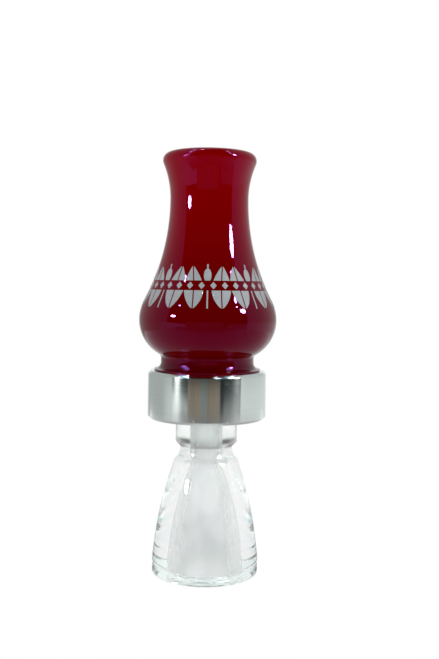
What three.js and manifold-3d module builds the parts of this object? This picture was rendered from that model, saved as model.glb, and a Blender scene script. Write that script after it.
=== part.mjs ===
// Duck call: a turned acrylic barrel with a metal band, and a clear insert that
// carries the tone board, two reeds, a cork wedge and two O-rings.
// Millimetres, +Z up along the call's axis. The insert's bell stands on z = 0,
// the mouthpiece is at the top, and the reeds face -Y.
import * as THREE from "three";
import { mergeVertices } from "three/addons/utils/BufferGeometryUtils.js";
import Module from "manifold-3d";

// ---- Driving dimensions ----------------------------------------------------
const INCH = 25.4;
const SEGMENTS = 48; // round pieces share one count, so that their facets line up
const RING_SEGMENTS = 32;

// Heights that the two halves share.
const SEAT_Z = 41.4; // barrel's lower end
const TOP_Z = 112.6; // crest of the mouthpiece

// Barrel, outside: lip, neck, bulb, lanyard groove and the spigot for the band.
const LIP_R = 12.65;
const LIP_CREST_R = 10.55;
const LIP_SIDE_ROUND = 2.6;
const WAIST_R = 10.55;
const WAIST_ROUND = 59;
const BULB_R = 18.5;
const BULB_ROUND = 10.7;
const BULB_Z = 67.75;
const GROOVE_R = 12.5;
const GROOVE_TOP_Z = 57.4;
const GROOVE_LOW_Z = 56.3;
const SPIGOT_R = 14.2; // 1 1/8 in spigot
const BARREL_CHAMFER = 0.3;

// Barrel, inside: a 5/8 in bore from end to end.
const BORE_R = (5 / 8) * INCH / 2;
const BORE_LEAD = 0.5;

// Band: 1 1/4 in outside, 1/2 in high.
const BAND_R = (5 / 4) * INCH / 2;
const BAND_BORE_R = SPIGOT_R + 0.1;
const BAND_HEIGHT = INCH / 2;
const BAND_CHAMFER = 0.7;
const BAND_EDGE = 0.2;

// Insert, outside: bell, shoulder, collar and tenon.
const FOOT_R = 14.1;
const FOOT_ROUND = 0.7;
const FOOT_GROOVE_R = 13.85;
const FOOT_GROOVE_Z = 2.6;
const BELL_ROUND = 107.6; // the bell's side is one long arc
const BELL_WIDEST_R = 14.53;
const BELL_WIDEST_Z = -5.1;
const BELL_LOW_Z = 3.6;
const SHOULDER_Z = 30.25;
const NECK_R = 7;
const NECK_Z = 33.2;
const COVE_ROUND = 3.4;
const SLOT_R = 6.6; // narrow slot between neck and collar
const SLOT_HEIGHT = 0.5;
const COLLAR_R = 8.25;
const COLLAR_CHAMFER = 1.05;
const COLLAR_LOW_Z = 35.1;
const COLLAR_GAP = 0.1; // between the collar's top and the barrel's end
const TENON_R = 7.7;
const TENON_TOP_Z = 52;
const BOARD_BASE_R = 7.5;
const BOARD_TIP_R = 7;
const BOARD_TIP_Z = 98.5;
const BOARD_TIP_CHAMFER = 0.8;

// Insert, inside: exhaust taper and tone channel.
const EXHAUST_R = 6.65;
const EXHAUST_LEAD = 0.4;
const EXHAUST_ROUND = 105; // the taper's side is one long arc, upright at the mouth
const CHANNEL_R = 2.9;
const CHANNEL_TOP_Z = 91;

// Tone board facing: flat under the wedge, then one long arc falling to the tip.
const FACING_Y = -1;
const NOTCH_Z = 51.5;
const FLAT_END_Z = 62;
const TIP_FALL = 1.5;

// O-rings, squeezed between the groove's floor and the bore.
const RING_GROOVE_R = 6.35;
const RING_GROOVE_WIDTH = 2.4;
const RING_LOW_Z = 44.4;
const RING_UP_Z = 48.6;
const RING_INNER_R = 6.4;
const RING_OUTER_R = 7.9;
const RING_HEIGHT = 1.9;

// Reeds and wedge.
const REED_THICK = 0.25;
const REED_GAP = 0.2;
const REED_WIDTH = 12.7;
const REED_TIP_WIDTH = 11.6;
const REED_TAIL_Z = NOTCH_Z + 0.4;
const LOWER_REED_TIP_Z = 98;
const UPPER_REED_TIP_Z = 94;
const WEDGE_R = 7.3;
const WEDGE_LOW_Z = NOTCH_Z + 0.4;
const WEDGE_TOP_Z = 61;

// ---- Helpers ----------------------------------------------------------------
const wasm = await Module();
wasm.setup();
const call = new THREE.Group();

// Points along an arc in the profile plane (r, z), from one angle to another in degrees.
function arc(r, z, radius, from, to, steps) {
  const points = [];
  for (let i = 0; i <= steps; i++) {
    const angle = THREE.MathUtils.degToRad(from + ((to - from) * i) / steps);
    points.push([r + radius * Math.cos(angle), z + radius * Math.sin(angle)]);
  }
  return points;
}

// Angle in degrees of the line from one profile point to another.
function heading(fromR, fromZ, toR, toZ) {
  return THREE.MathUtils.radToDeg(Math.atan2(toZ - fromZ, toR - fromR));
}

// Turns a profile of [r, z] points about Z. The profile runs with the solid on its left.
function turned(profile, segments = SEGMENTS) {
  const points = profile.map(([r, z]) => new THREE.Vector2(r, z));
  const geometry = new THREE.LatheGeometry(points, segments);
  geometry.rotateX(Math.PI / 2);
  return welded(geometry);
}

// Leaves only shared positions, as one closed surface.
function welded(geometry) {
  geometry.deleteAttribute("normal");
  geometry.deleteAttribute("uv");
  return mergeVertices(geometry, 1e-4);
}

function toSolid(geometry) {
  const vertProperties = new Float32Array(geometry.attributes.position.array);
  const triVerts = new Uint32Array(geometry.index.array);
  return new wasm.Manifold(new wasm.Mesh({ numProp: 3, vertProperties, triVerts }));
}

function toGeometry(solid) {
  const mesh = solid.getMesh();
  const geometry = new THREE.BufferGeometry();
  geometry.setAttribute("position", new THREE.BufferAttribute(mesh.vertProperties, 3));
  geometry.setIndex(new THREE.BufferAttribute(mesh.triVerts, 1));
  return geometry;
}

function addPiece(name, geometry, color, roughness, metalness) {
  geometry.computeVertexNormals();
  const material = new THREE.MeshStandardMaterial({ color, roughness, metalness });
  const mesh = new THREE.Mesh(geometry, material);
  mesh.name = name;
  call.add(mesh);
}

// ---- Barrel -----------------------------------------------------------------
// The neck is two arcs that meet at the waist. Each is tangent to its neighbour.
function barrelOutside() {
  const bulbR = BULB_R - BULB_ROUND;
  const waistR = WAIST_R + WAIST_ROUND;
  const waistZ = BULB_Z + Math.sqrt((WAIST_ROUND + BULB_ROUND) ** 2 - (waistR - bulbR) ** 2);

  const crestRound = LIP_R - LIP_CREST_R;
  const lipZ = TOP_Z - crestRound;
  const sideR = LIP_R - LIP_SIDE_ROUND;
  const rise = lipZ - waistZ;
  const offset = WAIST_R - sideR;
  const throatRound = (rise ** 2 + offset ** 2 - LIP_SIDE_ROUND ** 2) / (2 * (LIP_SIDE_ROUND - offset));
  const throatR = WAIST_R + throatRound;

  const grooveRound = ((bulbR - GROOVE_R) ** 2 + (BULB_Z - GROOVE_TOP_Z) ** 2 - BULB_ROUND ** 2)
    / (2 * (BULB_ROUND + bulbR - GROOVE_R));
  const grooveR = GROOVE_R + grooveRound;
  const flareRound = SPIGOT_R - GROOVE_R;

  const lipAngle = heading(sideR, lipZ, throatR, waistZ);
  const bulbTop = heading(bulbR, BULB_Z, waistR, waistZ);
  const bulbLow = heading(bulbR, BULB_Z, grooveR, GROOVE_TOP_Z);

  return [
    [SPIGOT_R - BARREL_CHAMFER, SEAT_Z],
    [SPIGOT_R, SEAT_Z + BARREL_CHAMFER],
    ...arc(SPIGOT_R, GROOVE_LOW_Z, flareRound, 270, 180, 4),
    ...arc(grooveR, GROOVE_TOP_Z, grooveRound, 180, 180 + bulbLow, 3),
    ...arc(bulbR, BULB_Z, BULB_ROUND, bulbLow, bulbTop, 11).slice(1),
    ...arc(waistR, waistZ, WAIST_ROUND, 180 + bulbTop, 180, 7).slice(1),
    ...arc(throatR, waistZ, throatRound, 180, 180 + lipAngle, 5).slice(1),
    ...arc(sideR, lipZ, LIP_SIDE_ROUND, lipAngle, 0, 3).slice(1),
    ...arc(LIP_CREST_R, lipZ, crestRound, 0, 90, 4).slice(1),
  ];
}

function barrelInside() {
  const mouthRound = LIP_CREST_R - BORE_R;
  return [
    ...arc(LIP_CREST_R, TOP_Z - mouthRound, mouthRound, 90, 180, 4).slice(1),
    [BORE_R, SEAT_Z + BORE_LEAD],
    [BORE_R + BORE_LEAD, SEAT_Z],
  ];
}

const barrelProfile = [...barrelOutside(), ...barrelInside()];
addPiece("barrel", turned([...barrelProfile, barrelProfile[0]]), 0x6e0412, 0.12, 0);

// ---- Band -------------------------------------------------------------------
function bandProfile() {
  const low = SEAT_Z;
  const top = SEAT_Z + BAND_HEIGHT;
  return [
    [BAND_BORE_R + BAND_EDGE, low],
    [BAND_R - BAND_CHAMFER, low],
    [BAND_R, low + BAND_CHAMFER],
    [BAND_R, top - BAND_CHAMFER],
    [BAND_R - BAND_CHAMFER, top],
    [BAND_BORE_R + BAND_EDGE, top],
    [BAND_BORE_R, top - BAND_EDGE],
    [BAND_BORE_R, low + BAND_EDGE],
    [BAND_BORE_R + BAND_EDGE, low],
  ];
}

addPiece("band", turned(bandProfile()), 0xc4c8c8, 0.28, 1);

// ---- Insert -----------------------------------------------------------------
function bellRadius(z) {
  const centreR = BELL_WIDEST_R - BELL_ROUND;
  return centreR + Math.sqrt(BELL_ROUND ** 2 - (z - BELL_WIDEST_Z) ** 2);
}

function bellOutside() {
  const steps = 8;
  const side = [];
  for (let i = 0; i <= steps; i++) {
    const z = BELL_LOW_Z + ((SHOULDER_Z - BELL_LOW_Z) * i) / steps;
    side.push([bellRadius(z), z]);
  }
  const coveR = NECK_R + COVE_ROUND;
  const coveEnd = 180 + THREE.MathUtils.radToDeg(Math.asin((NECK_Z - SHOULDER_Z) / COVE_ROUND));
  return [
    ...arc(FOOT_R - FOOT_ROUND, FOOT_ROUND, FOOT_ROUND, 270, 360, 3),
    [FOOT_R, FOOT_GROOVE_Z - 0.5],
    [FOOT_GROOVE_R, FOOT_GROOVE_Z],
    ...side,
    ...arc(coveR, NECK_Z, COVE_ROUND, coveEnd, 180, 4).slice(1),
    [NECK_R, COLLAR_LOW_Z - COLLAR_CHAMFER - SLOT_HEIGHT],
    [SLOT_R, COLLAR_LOW_Z - COLLAR_CHAMFER - SLOT_HEIGHT],
    [SLOT_R, COLLAR_LOW_Z - COLLAR_CHAMFER],
    [COLLAR_R - COLLAR_CHAMFER, COLLAR_LOW_Z - COLLAR_CHAMFER],
    [COLLAR_R, COLLAR_LOW_Z],
    [COLLAR_R, SEAT_Z - COLLAR_GAP],
  ];
}

function ringGroove(z) {
  const half = RING_GROOVE_WIDTH / 2;
  return [
    [TENON_R, z - half],
    [RING_GROOVE_R, z - half],
    [RING_GROOVE_R, z + half],
    [TENON_R, z + half],
  ];
}

// From the tone channel down to the lead at the mouth.
function exhaustTaper() {
  const narrow = EXHAUST_ROUND - EXHAUST_R + CHANNEL_R;
  const top = THREE.MathUtils.radToDeg(Math.acos(narrow / EXHAUST_ROUND));
  const low = THREE.MathUtils.radToDeg(Math.asin(EXHAUST_LEAD / EXHAUST_ROUND));
  return arc(EXHAUST_R - EXHAUST_ROUND, 0, EXHAUST_ROUND, top, low, 7);
}

function insertProfile() {
  return [
    [0, CHANNEL_TOP_Z],
    [CHANNEL_R, CHANNEL_TOP_Z],
    ...exhaustTaper(),
    [EXHAUST_R + EXHAUST_LEAD, 0],
    ...bellOutside(),
    [TENON_R, SEAT_Z - COLLAR_GAP],
    ...ringGroove(RING_LOW_Z),
    ...ringGroove(RING_UP_Z),
    [TENON_R, TENON_TOP_Z],
    [BOARD_BASE_R, TENON_TOP_Z],
    [BOARD_TIP_R, BOARD_TIP_Z - BOARD_TIP_CHAMFER],
    [BOARD_TIP_R - BOARD_TIP_CHAMFER, BOARD_TIP_Z],
    [0, BOARD_TIP_Z],
  ];
}

// Everything in front of the facing, as a slab across X. Its outline is drawn in (y, z).
function facingCutter() {
  const margin = 10;
  const reach = BOARD_TIP_Z - FLAT_END_Z;
  const round = reach ** 2 / (2 * TIP_FALL);
  const steps = 8;
  const outline = new THREE.Shape();
  outline.moveTo(-margin, NOTCH_Z);
  outline.lineTo(FACING_Y, NOTCH_Z);
  for (let i = 0; i <= steps + 1; i++) {
    const along = (reach * i) / steps;
    outline.lineTo(FACING_Y + along ** 2 / (2 * round), FLAT_END_Z + along);
  }
  outline.lineTo(-margin, FLAT_END_Z + (reach * (steps + 1)) / steps);
  outline.closePath();
  const slab = new THREE.ExtrudeGeometry(outline, { depth: 2 * margin, bevelEnabled: false });
  slab.translate(0, 0, -margin);
  // (y, z, x) of the drawing becomes (x, y, z) of the call.
  slab.applyMatrix4(new THREE.Matrix4().set(0, 0, 1, 0, 1, 0, 0, 0, 0, 1, 0, 0, 0, 0, 0, 1));
  return welded(slab);
}

const insertSolid = toSolid(turned(insertProfile())).subtract(toSolid(facingCutter()));
addPiece("insert", toGeometry(insertSolid), 0xe8eeee, 0.08, 0);

// ---- O-rings ----------------------------------------------------------------
function ringGeometry(z) {
  const middle = (RING_INNER_R + RING_OUTER_R) / 2;
  const halfWidth = (RING_OUTER_R - RING_INNER_R) / 2;
  const section = arc(0, 0, 1, 0, 360, 10);
  return turned(
    section.map(([x, y]) => [middle + halfWidth * x, z + (RING_HEIGHT / 2) * y]),
    RING_SEGMENTS,
  );
}

addPiece("lower_o_ring", ringGeometry(RING_LOW_Z), 0x141414, 0.55, 0);
addPiece("upper_o_ring", ringGeometry(RING_UP_Z), 0x141414, 0.55, 0);

// ---- Reeds ------------------------------------------------------------------
// A flat blade with round tip corners, its back at backY and its face towards -Y.
function reedGeometry(tipZ, backY) {
  const corner = 2.5;
  const half = REED_WIDTH / 2;
  const tipHalf = REED_TIP_WIDTH / 2;
  const outline = new THREE.Shape();
  outline.moveTo(-half, REED_TAIL_Z);
  outline.lineTo(half, REED_TAIL_Z);
  outline.lineTo(tipHalf, tipZ - corner);
  outline.quadraticCurveTo(tipHalf, tipZ, tipHalf - corner, tipZ);
  outline.lineTo(corner - tipHalf, tipZ);
  outline.quadraticCurveTo(-tipHalf, tipZ, -tipHalf, tipZ - corner);
  outline.closePath();
  const blade = new THREE.ExtrudeGeometry(outline, {
    depth: REED_THICK,
    bevelEnabled: false,
    curveSegments: 4,
  });
  blade.rotateX(Math.PI / 2);
  blade.translate(0, backY, 0);
  return welded(blade);
}

const lowerReedY = FACING_Y - REED_GAP;
const upperReedY = lowerReedY - REED_THICK - REED_GAP;
addPiece("lower_reed", reedGeometry(LOWER_REED_TIP_Z, lowerReedY), 0xe6e2d0, 0.35, 0);
addPiece("upper_reed", reedGeometry(UPPER_REED_TIP_Z, upperReedY), 0xe6e2d0, 0.35, 0);

// ---- Wedge ------------------------------------------------------------------
// A round cork cut flat where it presses on the reeds.
function wedgeGeometry() {
  const backY = upperReedY - REED_THICK - REED_GAP;
  const corner = Math.asin(backY / WEDGE_R);
  const outline = new THREE.Shape();
  outline.absarc(0, 0, WEDGE_R, -Math.PI - corner, corner, false);
  outline.closePath();
  const bevel = 0.3;
  const plug = new THREE.ExtrudeGeometry(outline, {
    depth: WEDGE_TOP_Z - WEDGE_LOW_Z - 2 * bevel,
    bevelThickness: bevel,
    bevelSize: bevel,
    bevelOffset: -bevel,
    bevelSegments: 1,
    curveSegments: 16,
  });
  plug.translate(0, 0, WEDGE_LOW_Z + bevel);
  return welded(plug);
}

addPiece("reed_wedge", wedgeGeometry(), 0xb98a56, 0.9, 0);

export default call;
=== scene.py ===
"""Looks of a duck call: a red acrylic barrel with a metal band on a clear acrylic insert."""

import math

import bmesh
import bpy
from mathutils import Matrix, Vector


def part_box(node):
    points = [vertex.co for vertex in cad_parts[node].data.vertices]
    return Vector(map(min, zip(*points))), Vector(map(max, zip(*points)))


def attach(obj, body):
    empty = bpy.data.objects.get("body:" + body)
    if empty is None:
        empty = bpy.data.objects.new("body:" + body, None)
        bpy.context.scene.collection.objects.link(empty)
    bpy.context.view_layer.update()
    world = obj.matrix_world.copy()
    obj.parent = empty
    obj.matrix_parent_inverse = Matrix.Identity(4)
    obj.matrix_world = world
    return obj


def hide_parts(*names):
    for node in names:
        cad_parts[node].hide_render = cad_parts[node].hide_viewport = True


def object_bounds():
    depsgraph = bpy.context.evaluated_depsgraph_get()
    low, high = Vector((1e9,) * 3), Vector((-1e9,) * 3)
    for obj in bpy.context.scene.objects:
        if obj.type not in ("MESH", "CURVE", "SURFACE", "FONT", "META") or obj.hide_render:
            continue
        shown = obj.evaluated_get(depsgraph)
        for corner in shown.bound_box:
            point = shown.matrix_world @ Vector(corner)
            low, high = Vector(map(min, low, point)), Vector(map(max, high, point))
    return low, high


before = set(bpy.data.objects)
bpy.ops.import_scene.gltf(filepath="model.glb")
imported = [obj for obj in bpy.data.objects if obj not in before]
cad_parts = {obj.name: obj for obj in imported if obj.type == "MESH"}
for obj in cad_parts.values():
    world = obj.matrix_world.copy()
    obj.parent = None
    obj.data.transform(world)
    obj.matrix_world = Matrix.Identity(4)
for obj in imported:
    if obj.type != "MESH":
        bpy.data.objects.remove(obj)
cad_low, cad_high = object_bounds()

MM = 0.001  # sizes are in millimetres, and MM turns them into metres
SEGMENTS = 256  # steps round a turned piece


# ---- Camera -----------------------------------------------------------------
# It looks level along +Y from just below the neck, so the lip is seen from below
# and the foot from above. The call leans a little in the picture.
CAMERA_DISTANCE = 243 * MM
CAMERA_SIDE = 3.02 * MM
CAMERA_HEIGHT = 0.687 * cad_high.z
CAMERA_LENS = 49.2
CAMERA_SHIFT = -0.069
CAMERA_ROLL = -0.0135


def make_camera():
    data = bpy.data.cameras.new("camera")
    data.lens = CAMERA_LENS
    data.sensor_width = 36
    data.shift_y = CAMERA_SHIFT
    data.clip_start = 10 * MM
    camera = bpy.data.objects.new("camera", data)
    camera.location = (CAMERA_SIDE, -CAMERA_DISTANCE, CAMERA_HEIGHT)
    camera.rotation_euler = (math.pi / 2, CAMERA_ROLL, 0)
    bpy.context.scene.collection.objects.link(camera)
    bpy.context.scene.camera = camera


make_camera()


# ---- Node helpers -----------------------------------------------------------
class Nodes:
    """Short calls that add nodes to one tree and hand back their outputs."""

    def __init__(self, tree):
        self.tree = tree
        tree.nodes.clear()

    def add(self, kind, **settings):
        node = self.tree.nodes.new(kind)
        for name, value in settings.items():
            setattr(node, name, value)
        return node

    def put(self, value, socket):
        if isinstance(value, bpy.types.NodeSocket):
            self.tree.links.new(value, socket)
        else:
            socket.default_value = value

    def math(self, operation, a, b=0.0, c=0.0):
        node = self.add("ShaderNodeMath", operation=operation)
        for value, socket in zip((a, b, c), node.inputs):
            self.put(value, socket)
        return node.outputs[0]

    def ramp(self, value, low, high, start=0.0, end=1.0):
        """A smooth step: start up to low, end from high."""
        node = self.add("ShaderNodeMapRange", interpolation_type="SMOOTHSTEP")
        for v, name in (
            (value, "Value"),
            (low, "From Min"),
            (high, "From Max"),
            (start, "To Min"),
            (end, "To Max"),
        ):
            self.put(v, node.inputs[name])
        return node.outputs[0]

    def mix(self, share, a, b):
        node = self.add("ShaderNodeMix", data_type="FLOAT")
        self.put(share, node.inputs[0])
        self.put(a, node.inputs[2])
        self.put(b, node.inputs[3])
        return node.outputs[0]

    def mix_color(self, share, a, b):
        node = self.add("ShaderNodeMix", data_type="RGBA")
        self.put(share, node.inputs[0])
        self.put(a, node.inputs[6])
        self.put(b, node.inputs[7])
        return node.outputs[2]

    def noise(self, vector, scale, detail=2.0, roughness=0.5):
        node = self.add("ShaderNodeTexNoise")
        self.put(vector, node.inputs["Vector"])
        self.put(scale, node.inputs["Scale"])
        self.put(detail, node.inputs["Detail"])
        self.put(roughness, node.inputs["Roughness"])
        return node.outputs["Fac"]

    def stretched(self, vector, scale):
        node = self.add("ShaderNodeMapping")
        self.put(vector, node.inputs["Vector"])
        self.put(scale, node.inputs["Scale"])
        return node.outputs[0]

    def parts(self, vector):
        """The three parts of a vector."""
        node = self.add("ShaderNodeSeparateXYZ")
        self.put(vector, node.inputs[0])
        return node.outputs

    def bump(self, height, strength, distance):
        node = self.add("ShaderNodeBump")
        self.put(height, node.inputs["Height"])
        self.put(strength, node.inputs["Strength"])
        self.put(distance, node.inputs["Distance"])
        return node.outputs[0]


def new_material(name):
    material = bpy.data.materials.new(name)
    material.use_nodes = True
    nodes = Nodes(material.node_tree)
    shader = nodes.add("ShaderNodeBsdfPrincipled")
    output = nodes.add("ShaderNodeOutputMaterial")
    nodes.put(shader.outputs[0], output.inputs["Surface"])
    place = nodes.add("ShaderNodeTexCoord").outputs["Object"]
    return material, nodes, shader.inputs, place


def around_axis(nodes, place):
    """A point's (angle, radius, height) about Z as one vector, in radians and metres, and its height."""
    x, y, z = nodes.parts(place)
    angle = nodes.math("ARCTAN2", x, y)
    radius = nodes.math("SQRT", nodes.math("ADD", nodes.math("MULTIPLY", x, x), nodes.math("MULTIPLY", y, y)))
    joined = nodes.add("ShaderNodeCombineXYZ")
    for value, socket in zip((angle, radius, z), joined.inputs):
        nodes.put(value, socket)
    return joined.outputs[0], z


# ---- Studio -----------------------------------------------------------------
# A light tent on a pale sheet: grey-green walls, a bright back, an open dark front
# with someone standing in it, a lamp on each side of the opening, and a column of
# small lamps over each of those. Angles are in degrees: azimuth 0 is towards the
# camera and 90 to the right. A pair of angles is where a change starts and ends.
WALL_LEFT = 0.46
WALL_LEFT_LOW = 0.68  # below the horizon, beside the opening
WALL_LEFT_LOW_TURN = (-98, -74)
WALL_RIGHT = 0.58
WALL_RIGHT_LOW = 0.76  # below the horizon
WALL_TINT = (0.93, 1.0, 0.965, 1)
WALL_RISE = (-6, -1)
SIDE_TURN = (-20, 20)  # from the left side to the right
CEILING = 0.1
CEILING_RISE = (55, 70)
BACK = 0.9
BACK_TURN = (150, 168)

OPENING = 0.008
OPENING_LOW = 0.045
OPENING_RISE = (-9, 0)
OPENING_TINT = (0.66, 1.0, 1.05, 1)
OPENING_HALF = 69
OPENING_EDGE = 1
CORNER_HALF = 31  # the opening's lower corners are cut off by a white card and a grey one
CORNER_HIGH_LEFT = 58
CORNER_RISE = (-9.5, -4.5)
CORNER_SIDE_EDGE = 4
CORNER_TOP_EDGE = 0.5
CORNER_LEFT = 0.9
CORNER_RIGHT = 0.33

FIGURE = 0.24
FIGURE_FOLDS = (0.7, 1.2)  # darkest and brightest fold of the clothes, as shares of FIGURE
FIGURE_FOLDS_PER_DEGREE = 0.35
FIGURE_LEFT = -36
FIGURE_RIGHT = 26
FIGURE_SIDE_EDGE = 0.5
FIGURE_TOP = -2
FIGURE_TOP_EDGE = 1
FIGURE_WARM = (1.2, 1.0, 0.76, 1)
FIGURE_COOL = (0.85, 1.1, 1.1, 1)
FIGURE_COOL_AT = -4
FIGURE_COOL_HALF = 5
FIGURE_COOL_EDGE = 2

CLEAR_ADDED = 0.64  # what is seen through clear parts is brighter:
CLEAR_SHARE = 0.6  # its own light by this share, and this much added
AMBIENT = 0.62  # even light that falls on matt surfaces

SPOT_HALF = 1.7
SPOT_CORE = 0.7  # share of the spot that has its full light
SPOT_LIGHT = 230
SPOTS = (  # azimuth and elevation
    (-56, 38),
    (-64, 52),
    (-68, 64),
    (-76, 80),
    (58, 36),
    (63, 46),
    (68, 58),
    (40, 70),
)

LAMP_TINT = (0.92, 1.0, 0.95)
LAMP_AIM = Vector((0, 0, 80 * MM))
LAMPS = (  # azimuth, elevation, distance, width, height, brightness
    (-57.8, 9.5, 550 * MM, 96 * MM, 46 * MM, 220),
    (63.5, 22.5, 450 * MM, 74 * MM, 88 * MM, 210),
)

SHEET_HALF = 200 * MM
SHEET_GAP = 0.02 * MM
SHEET_FRONT = 0.14
SHEET_MIDDLE = 0.45
SHEET_SIDE = 1.3
SHEET_SIDE_AT = 150 * MM
SHEET_BACK = 1.0


def direction(azimuth, elevation):
    """Unit vector. Azimuth 0 points at the camera, and 90 to the right."""
    a = math.radians(azimuth)
    e = math.radians(elevation)
    return Vector((math.sin(a) * math.cos(e), -math.cos(a) * math.cos(e), math.sin(e)))


def around(value, edge):
    """The pair of angles from edge below value to edge above it."""
    return value - edge, value + edge


def by_ray(nodes, rays, light):
    """Even light for matt surfaces, raised light through clear ones, and light as it is in reflections."""
    raised = nodes.math("MULTIPLY_ADD", light, CLEAR_SHARE, CLEAR_ADDED)
    light = nodes.mix(rays["Is Transmission Ray"], light, raised)
    return nodes.mix(rays["Is Diffuse Ray"], light, AMBIENT)


def tent_walls(nodes, azimuth, elevation, turn, side):
    """Brightness of the walls, the ceiling and the back."""
    low_part = nodes.ramp(elevation, *WALL_RISE, 1.0, 0.0)
    low = nodes.math("MULTIPLY", nodes.ramp(azimuth, *WALL_LEFT_LOW_TURN), low_part)
    left = nodes.mix(low, WALL_LEFT, WALL_LEFT_LOW)
    right = nodes.ramp(elevation, *WALL_RISE, WALL_RIGHT_LOW, WALL_RIGHT)
    wall = nodes.mix(side, left, right)
    wall = nodes.mix(nodes.ramp(elevation, *CEILING_RISE), wall, CEILING)
    return nodes.mix(nodes.ramp(turn, *BACK_TURN), wall, BACK)


def tent_figure(nodes, azimuth, elevation):
    """Where someone stands in the opening, their brightness and their tint."""
    sides = nodes.math(
        "MULTIPLY",
        nodes.ramp(azimuth, *around(FIGURE_LEFT, FIGURE_SIDE_EDGE)),
        nodes.ramp(azimuth, *around(FIGURE_RIGHT, FIGURE_SIDE_EDGE), 1.0, 0.0),
    )
    below = nodes.ramp(elevation, *around(FIGURE_TOP, FIGURE_TOP_EDGE), 1.0, 0.0)
    folds = nodes.noise(nodes.math("MULTIPLY", azimuth, FIGURE_FOLDS_PER_DEGREE), 1.0, 2.0)
    light = nodes.math("MULTIPLY", nodes.ramp(folds, 0.3, 0.7, *FIGURE_FOLDS), FIGURE)
    off = nodes.math("ABSOLUTE", nodes.math("SUBTRACT", azimuth, FIGURE_COOL_AT))
    cool = nodes.ramp(off, FIGURE_COOL_HALF - FIGURE_COOL_EDGE, FIGURE_COOL_HALF, 1.0, 0.0)
    return nodes.math("MULTIPLY", sides, below), light, nodes.mix_color(cool, FIGURE_WARM, FIGURE_COOL)


def tent_opening(nodes, azimuth, elevation, turn, side):
    """Brightness and tint of the opening, with its two cards and who stands in it."""
    dark = nodes.ramp(elevation, *OPENING_RISE, OPENING_LOW, OPENING)
    high = nodes.mix(side, CORNER_HIGH_LEFT, OPENING_HALF)
    corner = nodes.ramp(elevation, *CORNER_RISE, CORNER_HALF, high)
    top = CORNER_RISE[1]
    card = nodes.math(
        "MULTIPLY",
        nodes.ramp(nodes.math("SUBTRACT", turn, corner), 0, CORNER_SIDE_EDGE),
        nodes.ramp(elevation, top - CORNER_TOP_EDGE, top, 1.0, 0.0),
    )
    behind = nodes.mix(card, dark, nodes.mix(side, CORNER_LEFT, CORNER_RIGHT))
    behind_tint = nodes.mix_color(card, OPENING_TINT, WALL_TINT)
    hides, light, tint = tent_figure(nodes, azimuth, elevation)
    return nodes.mix(hides, behind, light), nodes.mix_color(hides, behind_tint, tint)


def add_spots(nodes, ray, glossy, light):
    """The small lamps, which only reflections show."""
    edge = math.cos(math.radians(SPOT_HALF))
    core = math.cos(math.radians(SPOT_HALF * SPOT_CORE))
    for azimuth, elevation in SPOTS:
        near = nodes.add("ShaderNodeVectorMath", operation="DOT_PRODUCT")
        nodes.put(ray, near.inputs[0])
        nodes.put(direction(azimuth, elevation), near.inputs[1])
        spot = nodes.ramp(near.outputs["Value"], edge, core, 0.0, SPOT_LIGHT)
        light = nodes.math("MULTIPLY_ADD", spot, glossy, light)
    return light


def make_studio():
    scene = bpy.context.scene
    world = bpy.data.worlds.new("studio")
    world.use_nodes = True
    scene.world = world
    nodes = Nodes(world.node_tree)
    ray = nodes.add("ShaderNodeTexCoord").outputs["Generated"]
    x, y, z = nodes.parts(ray)
    azimuth = nodes.math("DEGREES", nodes.math("ARCTAN2", x, nodes.math("MULTIPLY", y, -1.0)))
    elevation = nodes.math("DEGREES", nodes.math("ARCSINE", z))
    turn = nodes.math("ABSOLUTE", azimuth)
    side = nodes.ramp(azimuth, *SIDE_TURN)

    wall = tent_walls(nodes, azimuth, elevation, turn, side)
    front, front_tint = tent_opening(nodes, azimuth, elevation, turn, side)
    inside = nodes.ramp(turn, *around(OPENING_HALF, OPENING_EDGE), 1.0, 0.0)
    rays = nodes.add("ShaderNodeLightPath").outputs
    light = by_ray(nodes, rays, nodes.mix(inside, wall, front))
    light = add_spots(nodes, ray, rays["Is Glossy Ray"], light)

    studio = nodes.add("ShaderNodeBackground")
    nodes.put(nodes.mix_color(inside, WALL_TINT, front_tint), studio.inputs["Color"])
    nodes.put(light, studio.inputs["Strength"])
    plain = nodes.add("ShaderNodeBackground")
    plain.inputs["Color"].default_value = (1, 1, 1, 1)
    mixed = nodes.add("ShaderNodeMixShader")
    nodes.put(rays["Is Camera Ray"], mixed.inputs[0])
    nodes.put(studio.outputs[0], mixed.inputs[1])
    nodes.put(plain.outputs[0], mixed.inputs[2])
    nodes.put(mixed.outputs[0], nodes.add("ShaderNodeOutputWorld").inputs["Surface"])

    world.cycles.sampling_method = "NONE"
    scene.view_settings.view_transform = "Standard"
    scene.cycles.max_bounces = 32
    scene.cycles.glossy_bounces = 16
    scene.cycles.transmission_bounces = 32


def make_lamps():
    for azimuth, elevation, distance, width, height, brightness in LAMPS:
        data = bpy.data.lights.new("lamp", "AREA")
        data.shape = "ELLIPSE"
        data.size = width
        data.size_y = height
        data.color = LAMP_TINT
        area = math.pi / 4 * width * height
        data.energy = brightness * math.pi * area
        lamp = bpy.data.objects.new("lamp", data)
        away = direction(azimuth, elevation)
        lamp.location = LAMP_AIM + away * distance
        lamp.rotation_euler = away.to_track_quat("Z", "Y").to_euler()
        lamp.visible_camera = False
        lamp.visible_diffuse = False
        bpy.context.scene.collection.objects.link(lamp)


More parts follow.
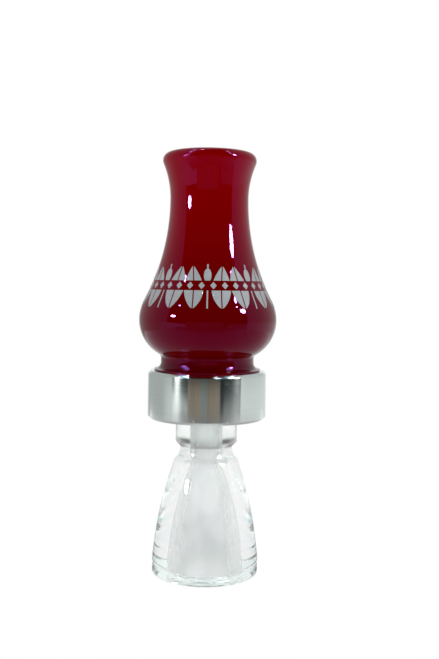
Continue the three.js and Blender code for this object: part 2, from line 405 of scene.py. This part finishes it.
def sheet_white():
    """The sheet glows rather than being lit. The camera sees it as plain white. The call reflects it as
    darker towards the front, painted shade where less light falls there.
    """
    material = bpy.data.materials.new("floor_white")
    material.use_nodes = True
    nodes = Nodes(material.node_tree)
    x, y, _ = nodes.parts(nodes.add("ShaderNodeTexCoord").outputs["Object"])
    # Painted light and shade: the glow drops towards the front and rises to the sides and back, standing in
    # for how light falls on the sheet.
    front = nodes.ramp(y, -SHEET_HALF, -SHEET_HALF / 3, SHEET_FRONT, SHEET_MIDDLE)
    side = nodes.ramp(nodes.math("ABSOLUTE", x), 0, SHEET_SIDE_AT, 1.0, SHEET_SIDE)
    glow = nodes.mix(nodes.ramp(y, 0, SHEET_HALF), nodes.math("MULTIPLY", front, side), SHEET_BACK)
    rays = nodes.add("ShaderNodeLightPath").outputs
    glow = by_ray(nodes, rays, glow)
    shader = nodes.add("ShaderNodeEmission")
    nodes.put(nodes.mix(rays["Is Camera Ray"], glow, 1.0), shader.inputs["Strength"])
    output = nodes.add("ShaderNodeOutputMaterial")
    nodes.put(shader.outputs[0], output.inputs["Surface"])
    material.cycles.emission_sampling = "NONE"
    return material


def make_floor():
    mesh = bpy.data.meshes.new("floor")
    shape = bmesh.new()
    bmesh.ops.create_grid(shape, x_segments=8, y_segments=8, size=SHEET_HALF)
    shape.to_mesh(mesh)
    shape.free()
    floor = bpy.data.objects.new("floor", mesh)
    floor.location.z = cad_low.z - SHEET_GAP
    bpy.context.scene.collection.objects.link(floor)
    mesh.materials.append(sheet_white())


make_studio()
make_lamps()
make_floor()


# ---- Materials --------------------------------------------------------------
ACRYLIC_IOR = 1.49
SHOULDER_Z = 30.25  # the clear acrylic is polished below this height, and shows turning marks above it
SPIGOT_TOP = 55  # painted light: the red acrylic's colour is darkest up to here, and lighter up to here, painting in the neck's brighter light
NECK_START = 104  # and gets lighter up to here, as if its wall let light through
ENGRAVING_PITCH = 0.16


def red_acrylic():
    material, nodes, shader, place = new_material("red_acrylic")
    polar, height = around_axis(nodes, place)
    cloud = nodes.noise(place, 90.0, 3.0)
    # Painted light: the base colour runs from a darker red low down to a lighter red up the neck, painting in
    # the brighter light that falls on the neck.
    depth = nodes.ramp(height, SPIGOT_TOP * MM, NECK_START * MM)
    painted_shade_red = nodes.mix_color(cloud, (0.138, 0.0, 0.0, 1), (0.158, 0.0, 0.0, 1))
    thin = nodes.mix_color(cloud, (0.352, 0.0, 0.0, 1), (0.388, 0.0, 0.0, 1))
    nodes.put(nodes.mix_color(depth, painted_shade_red, thin), shader["Base Color"])
    swirl = nodes.noise(nodes.stretched(polar, (6, 400, 9000)), 1.0, 3.0)
    nodes.put(nodes.ramp(swirl, 0.35, 0.75, 0.01, 0.04), shader["Roughness"])
    nodes.put(nodes.bump(swirl, 0.01, 0.002 * MM), shader["Normal"])
    shader["IOR"].default_value = ACRYLIC_IOR
    shader["Specular Tint"].default_value = (0.5, 0.13, 0.72, 1)
    return material


def engraved_frost():
    material, nodes, shader, place = new_material("engraved_frost")
    _, height = around_axis(nodes, place)
    raster = nodes.math("SINE", nodes.math("MULTIPLY", height, math.tau / (ENGRAVING_PITCH * MM)))
    grain = nodes.noise(place, 5000.0, 2.0)
    tone = nodes.math("ADD", nodes.math("MULTIPLY", raster, 0.12), grain)
    nodes.put(
        nodes.mix_color(tone, (0.44, 0.36, 0.385, 1), (0.76, 0.66, 0.69, 1)),
        shader["Base Color"],
    )
    nodes.put(nodes.ramp(grain, 0.3, 0.7, 0.55, 0.8), shader["Roughness"])
    nodes.put(nodes.bump(tone, 0.4, 0.02 * MM), shader["Normal"])
    return material


def turned_metal():
    material, nodes, shader, place = new_material("turned_metal")
    polar, _ = around_axis(nodes, place)
    lines = nodes.noise(nodes.stretched(polar, (0.6, 0, 14000)), 1.0, 4.0, 0.6)
    blotch = nodes.noise(place, 300.0, 4.0)
    nodes.put(
        nodes.mix_color(lines, (0.70, 0.73, 0.73, 1), (0.86, 0.89, 0.88, 1)),
        shader["Base Color"],
    )
    nodes.put(
        nodes.math("ADD", nodes.ramp(lines, 0.3, 0.7, 0.105, 0.135), nodes.math("MULTIPLY", blotch, 0.03)),
        shader["Roughness"],
    )
    nodes.put(nodes.bump(lines, 0.1, 0.003 * MM), shader["Normal"])
    shader["Metallic"].default_value = 1.0
    shader["Anisotropic"].default_value = 0.82
    shader["Anisotropic Rotation"].default_value = 0.25
    tangent = nodes.add("ShaderNodeTangent", direction_type="RADIAL", axis="Z")
    nodes.put(tangent.outputs[0], shader["Tangent"])
    return material


def clear_acrylic():
    material, nodes, shader, place = new_material("clear_acrylic")
    polar, height = around_axis(nodes, place)
    marks = nodes.noise(nodes.stretched(polar, (3, 300, 7000)), 1.0, 3.0)
    turned_part = nodes.ramp(height, (SHOULDER_Z - 0.5) * MM, (SHOULDER_Z + 1.5) * MM)
    rough = nodes.math("MULTIPLY_ADD", turned_part, 0.1, nodes.ramp(marks, 0.4, 0.8, 0.015, 0.05))
    nodes.put(rough, shader["Roughness"])
    depth = nodes.math("MULTIPLY_ADD", turned_part, 0.02 * MM, 0.00002 * MM)
    nodes.put(nodes.bump(marks, 1.0, depth), shader["Normal"])
    nodes.put(
        nodes.mix_color(turned_part, (0.985, 0.99, 0.99, 1), (0.83, 0.84, 0.835, 1)),
        shader["Base Color"],
    )
    shader["IOR"].default_value = ACRYLIC_IOR
    shader["Transmission Weight"].default_value = 1.0
    return material


def drilled_acrylic():
    material, nodes, shader, place = new_material("drilled_acrylic")
    polar, height = around_axis(nodes, place)
    rings = nodes.noise(nodes.stretched(polar, (0.8, 0, 9000)), 1.0, 4.0, 0.6)
    cloud = nodes.noise(place, 250.0, 3.0)
    rough = nodes.math("ADD", nodes.ramp(rings, 0.3, 0.7, 0.4, 0.55), nodes.math("MULTIPLY", cloud, 0.1))
    nodes.put(rough, shader["Roughness"])
    nodes.put(nodes.bump(rings, 0.08, 0.01 * MM), shader["Normal"])
    smudge = nodes.noise(nodes.stretched(place, (1, 1, 0.6)), 220.0, 4.0, 0.6)
    # The bore's colour is darker towards its mouth, below 18 mm, and in random smudges.
    low_down = nodes.ramp(height, 4 * MM, 18 * MM, 0.22, 0.0)
    smudged_and_darker_low = nodes.ramp(nodes.math("ADD", smudge, low_down), 0.35, 0.85)
    nodes.put(
        nodes.mix_color(smudged_and_darker_low, (0.935, 0.945, 0.95, 1), (0.70, 0.715, 0.72, 1)),
        shader["Base Color"],
    )
    shader["IOR"].default_value = ACRYLIC_IOR
    shader["Transmission Weight"].default_value = 1.0
    return material


def ring_rubber():
    material, nodes, shader, place = new_material("ring_rubber")
    dust = nodes.noise(place, 3500.0, 4.0)
    nodes.put(
        nodes.mix_color(dust, (0.008, 0.008, 0.009, 1), (0.03, 0.03, 0.032, 1)),
        shader["Base Color"],
    )
    nodes.put(nodes.ramp(dust, 0.3, 0.7, 0.35, 0.55), shader["Roughness"])
    nodes.put(nodes.bump(dust, 0.2, 0.02 * MM), shader["Normal"])
    return material


def reed_film():
    material, nodes, shader, place = new_material("reed_film")
    haze = nodes.noise(nodes.stretched(place, (1, 1, 0.08)), 4000.0, 3.0)
    nodes.put(
        nodes.mix_color(haze, (0.72, 0.70, 0.60, 1), (0.84, 0.83, 0.75, 1)),
        shader["Base Color"],
    )
    nodes.put(nodes.ramp(haze, 0.3, 0.7, 0.25, 0.45), shader["Roughness"])
    nodes.put(nodes.bump(haze, 0.1, 0.01 * MM), shader["Normal"])
    shader["Transmission Weight"].default_value = 0.25
    return material


def wedge_cork():
    material, nodes, shader, place = new_material("wedge_cork")
    cells = nodes.add("ShaderNodeTexVoronoi")
    nodes.put(place, cells.inputs["Vector"])
    cells.inputs["Scale"].default_value = 1100.0
    grain = nodes.noise(place, 700.0, 5.0, 0.65)
    tone = nodes.math("MULTIPLY", nodes.math("ADD", cells.outputs["Distance"], grain), 0.6)
    nodes.put(
        nodes.mix_color(tone, (0.26, 0.13, 0.05, 1), (0.62, 0.42, 0.24, 1)),
        shader["Base Color"],
    )
    nodes.put(nodes.ramp(grain, 0.3, 0.7, 0.75, 0.95), shader["Roughness"])
    nodes.put(nodes.bump(tone, 0.6, 0.1 * MM), shader["Normal"])
    return material


# ---- Shape helpers ----------------------------------------------------------
def arc(r, z, radius, start, end, steps):
    """Points (r, z) along an arc of the profile, from one angle to another in degrees."""
    points = []
    for i in range(steps + 1):
        angle = math.radians(start + (end - start) * i / steps)
        points.append((r + radius * math.cos(angle), z + radius * math.sin(angle)))
    return points


def heading(from_r, from_z, to_r, to_z):
    return math.degrees(math.atan2(to_z - from_z, to_r - from_r))


def eased(before, corner, after, radius, steps=4):
    """The corner between two straight profile lines, as a small arc."""
    p = Vector(corner)
    u = (Vector(before) - p).normalized()
    v = (Vector(after) - p).normalized()
    half = u.angle(v) / 2
    centre = p + (u + v).normalized() * (radius / math.sin(half))
    start = p + u * (radius / math.tan(half)) - centre
    end = p + v * (radius / math.tan(half)) - centre
    points = []
    for i in range(steps + 1):
        leg = start.slerp(end, i / steps).normalized() * radius
        points.append(tuple(centre + leg))
    return points


def eased_line(points, radius):
    """A line of straight stretches with each inner corner rounded by radius."""
    line = [points[0]]
    for before, corner, after in zip(points, points[1:], points[2:]):
        line += eased(before, corner, after, radius)
    return line + [points[-1]]


def link(name, mesh):
    piece = bpy.data.objects.new(name, mesh)
    bpy.context.scene.collection.objects.link(piece)
    return piece


def turned(name, profile, segments=SEGMENTS):
    """A profile of (r, z), with the solid on its left, turned about Z.

    It is closed from its last point to its first, unless both are on the axis.
    """
    axis_limit = 1e-6
    points = []
    rings = []
    for r, z in profile:
        if r < axis_limit:
            rings.append([len(points)] * segments)
            points.append((0, 0, z * MM))
            continue
        rings.append(list(range(len(points), len(points) + segments)))
        for i in range(segments):
            angle = math.tau * i / segments
            points.append((r * MM * math.cos(angle), r * MM * math.sin(angle), z * MM))
    faces = []
    on_axis = profile[0][0] < axis_limit and profile[-1][0] < axis_limit
    pairs = list(zip(rings, rings[1:]))
    if not on_axis:
        pairs.append((rings[-1], rings[0]))
    for low, high in pairs:
        for i in range(segments):
            j = (i + 1) % segments
            corners = [low[i], low[j], high[j], high[i]]
            faces.append(list(dict.fromkeys(corners)))
    mesh = bpy.data.meshes.new(name)
    mesh.from_pydata(points, [], faces)
    mesh.validate()
    return link(name, mesh)


def smooth(piece, crease=30):
    mesh = piece.data
    mesh.shade_smooth()
    mesh.set_sharp_from_angle(angle=math.radians(crease))


def cut(piece, cutter):
    """Takes cutter out of piece and removes cutter."""
    modifier = piece.modifiers.new("cut", "BOOLEAN")
    modifier.operation = "DIFFERENCE"
    modifier.solver = "EXACT"
    modifier.object = cutter
    shown = piece.evaluated_get(bpy.context.evaluated_depsgraph_get())
    mesh = bpy.data.meshes.new_from_object(shown)
    piece.modifiers.clear()
    old = piece.data
    piece.data = mesh
    bpy.data.meshes.remove(old)
    bpy.data.objects.remove(cutter)


# ---- Barrel -----------------------------------------------------------------
SEAT_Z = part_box("barrel")[0].z / MM
TOP_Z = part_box("barrel")[1].z / MM
LIP_R = 12.65
LIP_CREST_R = 10.55
LIP_SIDE_ROUND = 2.6
WAIST_R = 10.55
WAIST_ROUND = 59
BULB_R = 18.5
BULB_ROUND = 10.7
BULB_Z = SEAT_Z + 26.35
GROOVE_R = 12.5
GROOVE_TOP_Z = SEAT_Z + 16
GROOVE_LOW_Z = SEAT_Z + 14.9
SPIGOT_R = 14.2
BARREL_CHAMFER = 0.3
BORE_R = 7.9375  # 5/8 in bore
BORE_LEAD = 0.5

BULB_ARC_R = BULB_R - BULB_ROUND
WAIST_ARC_R = WAIST_R + WAIST_ROUND
WAIST_Z = BULB_Z + math.sqrt((WAIST_ROUND + BULB_ROUND) ** 2 - (WAIST_ARC_R - BULB_ARC_R) ** 2)
SIDE_TOP = heading(BULB_ARC_R, BULB_Z, WAIST_ARC_R, WAIST_Z)


def barrel_outside():
    crest_round = LIP_R - LIP_CREST_R
    lip_z = TOP_Z - crest_round
    side_r = LIP_R - LIP_SIDE_ROUND
    rise = lip_z - WAIST_Z
    offset = WAIST_R - side_r
    throat_round = (rise**2 + offset**2 - LIP_SIDE_ROUND**2) / (2 * (LIP_SIDE_ROUND - offset))
    throat_r = WAIST_R + throat_round
    groove_round = (
        (BULB_ARC_R - GROOVE_R) ** 2 + (BULB_Z - GROOVE_TOP_Z) ** 2 - BULB_ROUND**2
    ) / (2 * (BULB_ROUND + BULB_ARC_R - GROOVE_R))
    groove_r = GROOVE_R + groove_round
    flare_round = SPIGOT_R - GROOVE_R
    lip_angle = heading(side_r, lip_z, throat_r, WAIST_Z)
    bulb_low = heading(BULB_ARC_R, BULB_Z, groove_r, GROOVE_TOP_Z)
    return [
        *eased((BORE_R, SEAT_Z), (SPIGOT_R, SEAT_Z), (SPIGOT_R, TOP_Z), BARREL_CHAMFER),
        *arc(SPIGOT_R, GROOVE_LOW_Z, flare_round, 270, 180, 14),
        *arc(groove_r, GROOVE_TOP_Z, groove_round, 180, 180 + bulb_low, 10),
        *arc(BULB_ARC_R, BULB_Z, BULB_ROUND, bulb_low, SIDE_TOP, 44)[1:],
        *arc(WAIST_ARC_R, WAIST_Z, WAIST_ROUND, 180 + SIDE_TOP, 180, 30)[1:],
        *arc(throat_r, WAIST_Z, throat_round, 180, 180 + lip_angle, 20)[1:],
        *arc(side_r, lip_z, LIP_SIDE_ROUND, lip_angle, 0, 12)[1:],
        *arc(LIP_CREST_R, lip_z, crest_round, 0, 90, 16)[1:],
    ]


def barrel_inside():
    mouth_round = LIP_CREST_R - BORE_R
    return [
        *arc(LIP_CREST_R, TOP_Z - mouth_round, mouth_round, 90, 180, 16)[1:],
        (BORE_R, SEAT_Z + BORE_LEAD),
        (BORE_R + BORE_LEAD, SEAT_Z),
    ]


def make_barrel():
    barrel = turned("barrel_body", barrel_outside() + barrel_inside())
    barrel.data.materials.append(red_acrylic())
    smooth(barrel)
    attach(barrel, "barrel")
    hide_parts("barrel")


make_barrel()


# ---- Engraving --------------------------------------------------------------
# A frieze of marsh leaves and cattails on the bulb's upper slope, with a plain
# strip left through its middle for a row of small lozenges.
FRIEZE_LOW = 71.2
FRIEZE_HIGH = 82.4
STRIP_LOW = 75.7
STRIP_HIGH = 78.2
MOTIFS = 8
INLAY_PROUD = 0.03
INLAY_DEPTH = 0.06
LEAF_TURN = 0.27  # from the cattail, as a share of the motif
LEAF_HIGH = FRIEZE_HIGH - 0.6
LEAF_WIDTH = 4.6
LEAF_LEAN = 0.9
LEAF_TIP_HALF = 0.05
VEIN_HALF = 0.16
HEAD_LOW = FRIEZE_HIGH - 4.6
HEAD_HIGH = FRIEZE_HIGH - 1.2
HEAD_HALF = 0.75
HEAD_END_HALF = 0.22
STEM_HALF = 0.2
LOZENGES = 4  # in each motif
LOZENGE_MARGIN = 0.4
LOZENGE_HALF = 0.75
LOZENGE_TIP_HALF = 0.08


def slope_radius(z):
    """Outside radius of the barrel between the bulb and the waist."""
    edge = BULB_Z + BULB_ROUND * math.sin(math.radians(SIDE_TOP))
    if z < edge:
        return BULB_ARC_R + math.sqrt(BULB_ROUND**2 - (z - BULB_Z) ** 2)
    return WAIST_ARC_R - math.sqrt(WAIST_ROUND**2 - (WAIST_Z - z) ** 2)


def inlay(shape, low, high, left, right, rows=14, columns=6):
    """A thin closed patch on the slope, between two edges given as arc lengths at each height."""
    grids = []
    for lift in (INLAY_PROUD, INLAY_PROUD - INLAY_DEPTH):
        grid = []
        for i in range(rows + 1):
            z = low + (high - low) * i / rows
            r = slope_radius(z)
            row = []
            for j in range(columns + 1):
                angle = (left(z) + (right(z) - left(z)) * j / columns) / r
                spot = ((r + lift) * math.sin(angle), -(r + lift) * math.cos(angle), z)
                row.append(shape.verts.new(Vector(spot) * MM))
            grid.append(row)
        grids.append(grid)
    outer, inner = grids
    for i in range(rows):
        for j in range(columns):
            shape.faces.new((outer[i][j], outer[i][j + 1], outer[i + 1][j + 1], outer[i + 1][j]))
            shape.faces.new((inner[i][j], inner[i + 1][j], inner[i + 1][j + 1], inner[i][j + 1]))
    for i in range(rows):
        shape.faces.new((outer[i][0], outer[i + 1][0], inner[i + 1][0], inner[i][0]))
        shape.faces.new((outer[i][-1], inner[i][-1], inner[i + 1][-1], outer[i + 1][-1]))
    for j in range(columns):
        shape.faces.new((outer[0][j], inner[0][j], inner[0][j + 1], outer[0][j + 1]))
        shape.faces.new((outer[-1][j], outer[-1][j + 1], inner[-1][j + 1], inner[-1][j]))


def leaf(shape, turn, lean):
    """An upright leaf as two halves beside a bare vein. turn is its foot's angle."""

    def share(z):
        return min(max((z - FRIEZE_LOW) / (LEAF_HIGH - FRIEZE_LOW), 0.0), 1.0)

    def middle(z):
        return turn * slope_radius(z) + lean * share(z) ** 1.6

    def half(z):
        return VEIN_HALF + LEAF_TIP_HALF + LEAF_WIDTH / 2 * math.sin(math.pi * share(z) ** 0.85) ** 0.9

    for low, high in ((FRIEZE_LOW, STRIP_LOW), (STRIP_HIGH, LEAF_HIGH)):
        inlay(shape, low, high, lambda z: middle(z) - half(z), lambda z: middle(z) - VEIN_HALF)
        inlay(shape, low, high, lambda z: middle(z) + VEIN_HALF, lambda z: middle(z) + half(z))


def upright(shape, turn, low, high, half, rows):
    """A patch with an upright middle line."""

    def middle(z):
        return turn * slope_radius(z)

    inlay(shape, low, high, lambda z: middle(z) - half(z), lambda z: middle(z) + half(z), rows, 4)


def cattail(shape, turn):
    """A stem with a long round-ended head and a spike."""

    def half(z):
        if HEAD_LOW < z < HEAD_HIGH:
            share = (z - HEAD_LOW) / (HEAD_HIGH - HEAD_LOW)
            return HEAD_END_HALF + HEAD_HALF * math.sqrt(max(math.sin(math.pi * share), 0.0))
        return STEM_HALF

    upright(shape, turn, FRIEZE_LOW, STRIP_LOW, half, 18)
    upright(shape, turn, STRIP_HIGH, FRIEZE_HIGH, half, 28)


def lozenge(shape, turn):
    low = STRIP_LOW + LOZENGE_MARGIN
    high = STRIP_HIGH - LOZENGE_MARGIN

    def half(z):
        return LOZENGE_TIP_HALF + LOZENGE_HALF * (1 - abs(2 * (z - low) / (high - low) - 1))

    upright(shape, turn, low, high, half, 8)


def make_engraving():
    shape = bmesh.new()
    step = math.tau / MOTIFS
    for i in range(MOTIFS):
        turn = step * i
        cattail(shape, turn)
        leaf(shape, turn - LEAF_TURN * step, -LEAF_LEAN)
        leaf(shape, turn + LEAF_TURN * step, LEAF_LEAN)
        for j in range(LOZENGES):
            lozenge(shape, turn + step * (j + 0.5) / LOZENGES)
    bmesh.ops.recalc_face_normals(shape, faces=shape.faces)
    mesh = bpy.data.meshes.new("engraving")
    shape.to_mesh(mesh)
    shape.free()
    engraving = link("engraving", mesh)
    mesh.materials.append(engraved_frost())
    smooth(engraving)
    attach(engraving, "barrel")


make_engraving()


# ---- Band -------------------------------------------------------------------
BAND_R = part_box("band")[1].x / MM
BAND_LOW_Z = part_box("band")[0].z / MM
BAND_TOP_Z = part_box("band")[1].z / MM
BAND_BORE_R = 14.3
BAND_CHAMFER = 0.7
BAND_EDGE = 0.2
BAND_ROUND = 0.08
BAND_JOIN = 0.01  # between the profile's two ends, half-way up the bore


def make_band():
    middle = (BAND_LOW_Z + BAND_TOP_Z) / 2
    corners = [
        (BAND_BORE_R, middle),
        (BAND_BORE_R, BAND_LOW_Z + BAND_EDGE),
        (BAND_BORE_R + BAND_EDGE, BAND_LOW_Z),
        (BAND_R - BAND_CHAMFER, BAND_LOW_Z),
        (BAND_R, BAND_LOW_Z + BAND_CHAMFER),
        (BAND_R, BAND_TOP_Z - BAND_CHAMFER),
        (BAND_R - BAND_CHAMFER, BAND_TOP_Z),
        (BAND_BORE_R + BAND_EDGE, BAND_TOP_Z),
        (BAND_BORE_R, BAND_TOP_Z - BAND_EDGE),
        (BAND_BORE_R, middle + BAND_JOIN),
    ]
    band = turned("band_ring", eased_line(corners, BAND_ROUND))
    band.data.materials.append(turned_metal())
    smooth(band, 50)
    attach(band, "barrel")
    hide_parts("band")


make_band()


# ---- Insert -----------------------------------------------------------------
FOOT_R = 14.1
FOOT_ROUND = 0.7
FOOT_GROOVE_R = 13.85
FOOT_GROOVE_Z = 2.6
FOOT_TOP_Z = FOOT_GROOVE_Z - 0.5
FOOT_EDGE_ROUND = 0.1
BELL_ROUND = 107.6
BELL_WIDEST_R = 14.53
BELL_WIDEST_Z = -5.1
BELL_LOW_Z = 3.6
NECK_R = 7
NECK_Z = 33.2
COVE_ROUND = 3.4
SLOT_R = 6.6
SLOT_HEIGHT = 0.5
COLLAR_R = 8.25
COLLAR_CHAMFER = 1.05
COLLAR_LOW_Z = 35.1
COLLAR_TOP_Z = SEAT_Z - 0.1
TENON_R = 7.7
TENON_TOP_Z = 52
BOARD_BASE_R = 7.5
BOARD_TIP_R = 7
BOARD_TIP_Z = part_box("insert")[1].z / MM
BOARD_TIP_CHAMFER = 0.8
EXHAUST_R = 6.65
EXHAUST_LEAD = 0.4
EXHAUST_ROUND = 105
CHANNEL_R = 2.9
CHANNEL_TOP_Z = 91
FACING_Y = -1
NOTCH_Z = 51.5
FLAT_END_Z = 62
TIP_FALL = 1.5
RING_GROOVE_R = 6.35
RING_GROOVE_HALF = 1.2
EDGE_ROUND = 0.12
NECK_JOIN = 0.05  # from the cove's end to the straight neck


def ring_height(node):
    low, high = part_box(node)
    return (low.z + high.z) / 2 / MM


def bell_radius(z):
    return BELL_WIDEST_R - BELL_ROUND + math.sqrt(BELL_ROUND**2 - (z - BELL_WIDEST_Z) ** 2)


def insert_bore():
    """The tone bore, the rounded taper below it, and a small lead at the mouth."""
    reach = math.sqrt(EXHAUST_ROUND**2 - (EXHAUST_ROUND - EXHAUST_R + CHANNEL_R) ** 2)
    end = math.degrees(math.asin(reach / EXHAUST_ROUND))
    start = math.degrees(math.asin(EXHAUST_LEAD / EXHAUST_ROUND))
    return [
        (0, CHANNEL_TOP_Z),
        (CHANNEL_R, CHANNEL_TOP_Z),
        *arc(EXHAUST_R - EXHAUST_ROUND, 0, EXHAUST_ROUND, end, start, 32),
        (EXHAUST_R + EXHAUST_LEAD, 0),
    ]


def tenon_outside():
    """From the collar's top edge up the tenon, with its two ring grooves, and the tone board to the axis."""
    points = [(COLLAR_R, COLLAR_TOP_Z), (TENON_R, COLLAR_TOP_Z)]
    for node in ("lower_o_ring", "upper_o_ring"):
        middle = ring_height(node)
        points += [
            (TENON_R, middle - RING_GROOVE_HALF),
            (RING_GROOVE_R, middle - RING_GROOVE_HALF),
            (RING_GROOVE_R, middle + RING_GROOVE_HALF),
            (TENON_R, middle + RING_GROOVE_HALF),
        ]
    return points + [
        (TENON_R, TENON_TOP_Z),
        (BOARD_BASE_R, TENON_TOP_Z),
        (BOARD_TIP_R, BOARD_TIP_Z - BOARD_TIP_CHAMFER),
        (BOARD_TIP_R - BOARD_TIP_CHAMFER, BOARD_TIP_Z),
        (0, BOARD_TIP_Z),
    ]


def insert_outside():
    side_steps = 40
    side = []
    for i in range(side_steps + 1):
        z = BELL_LOW_Z + (SHOULDER_Z - BELL_LOW_Z) * i / side_steps
        side.append((bell_radius(z), z))
    foot_top = (FOOT_R, FOOT_TOP_Z)
    groove = (FOOT_GROOVE_R, FOOT_GROOVE_Z)
    cove_r = NECK_R + COVE_ROUND
    cove_end = 180 + math.degrees(math.asin((NECK_Z - SHOULDER_Z) / COVE_ROUND))
    slot_top = COLLAR_LOW_Z - COLLAR_CHAMFER
    slot_low = slot_top - SLOT_HEIGHT
    return [
        *arc(FOOT_R - FOOT_ROUND, FOOT_ROUND, FOOT_ROUND, 270, 360, 10),
        *eased((FOOT_R, FOOT_ROUND), foot_top, groove, FOOT_EDGE_ROUND),
        *eased(foot_top, groove, side[0], FOOT_EDGE_ROUND),
        *side,
        *arc(cove_r, NECK_Z, COVE_ROUND, cove_end, 180, 14)[1:],
        *eased_line(
            [
                (NECK_R, NECK_Z + NECK_JOIN),
                (NECK_R, slot_low),
                (SLOT_R, slot_low),
                (SLOT_R, slot_top),
                (COLLAR_R - COLLAR_CHAMFER, slot_top),
                (COLLAR_R, COLLAR_LOW_Z),
                *tenon_outside(),
            ],
            EDGE_ROUND,
        ),
    ]


def facing_cutter():
    """Everything in front of the tone board's facing, as a slab across X."""
    margin = 10
    steps = 24
    reach = BOARD_TIP_Z - FLAT_END_Z
    bend = reach**2 / (2 * TIP_FALL)
    outline = [(-margin, NOTCH_Z), (FACING_Y, NOTCH_Z)]
    for i in range(steps + 2):
        along = reach * i / steps
        outline.append((FACING_Y + along**2 / (2 * bend), FLAT_END_Z + along))
    outline.append((-margin, outline[-1][1]))
    shape = bmesh.new()
    ends = [[shape.verts.new((x * MM, y * MM, z * MM)) for y, z in outline] for x in (-margin, margin)]
    shape.faces.new(ends[0])
    shape.faces.new(ends[1][::-1])
    count = len(outline)
    for i in range(count):
        j = (i + 1) % count
        shape.faces.new((ends[0][j], ends[0][i], ends[1][i], ends[1][j]))
    bmesh.ops.recalc_face_normals(shape, faces=shape.faces)
    mesh = bpy.data.meshes.new("facing_cutter")
    shape.to_mesh(mesh)
    shape.free()
    return link("facing_cutter", mesh)


def make_insert():
    bore = insert_bore()
    insert = turned("insert_body", bore + insert_outside())
    insert.data.materials.append(clear_acrylic())
    insert.data.materials.append(drilled_acrylic())
    drilled_faces = (len(bore) - 2) * SEGMENTS  # all of the bore but the lead at its mouth
    for i, face in enumerate(insert.data.polygons):
        face.material_index = 1 if i < drilled_faces else 0
    cut(insert, facing_cutter())
    smooth(insert)
    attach(insert, "insert")
    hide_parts("insert")


make_insert()


# ---- O-rings ----------------------------------------------------------------
RING_INNER_R = 6.4
RING_OUTER_R = 7.9
RING_HALF_HEIGHT = 0.95
RING_SEGMENTS = 128


def make_rings():
    material = ring_rubber()
    middle = (RING_INNER_R + RING_OUTER_R) / 2
    half = (RING_OUTER_R - RING_INNER_R) / 2
    circle = arc(0, 0, 1, 0, 360, 32)[:-1]
    for node in ("lower_o_ring", "upper_o_ring"):
        z = ring_height(node)
        section = [(middle + half * x, z + RING_HALF_HEIGHT * y) for x, y in circle]
        ring = turned(node + "_body", section, RING_SEGMENTS)
        ring.data.materials.append(material)
        smooth(ring)
        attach(ring, "o_rings")
        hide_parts(node)


make_rings()


# ---- Reeds and wedge ---------------------------------------------------------
def give_material(node, material):
    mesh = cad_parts[node].data
    mesh.materials.clear()
    mesh.materials.append(material)


film = reed_film()
give_material("lower_reed", film)
give_material("upper_reed", film)
give_material("reed_wedge", wedge_cork())
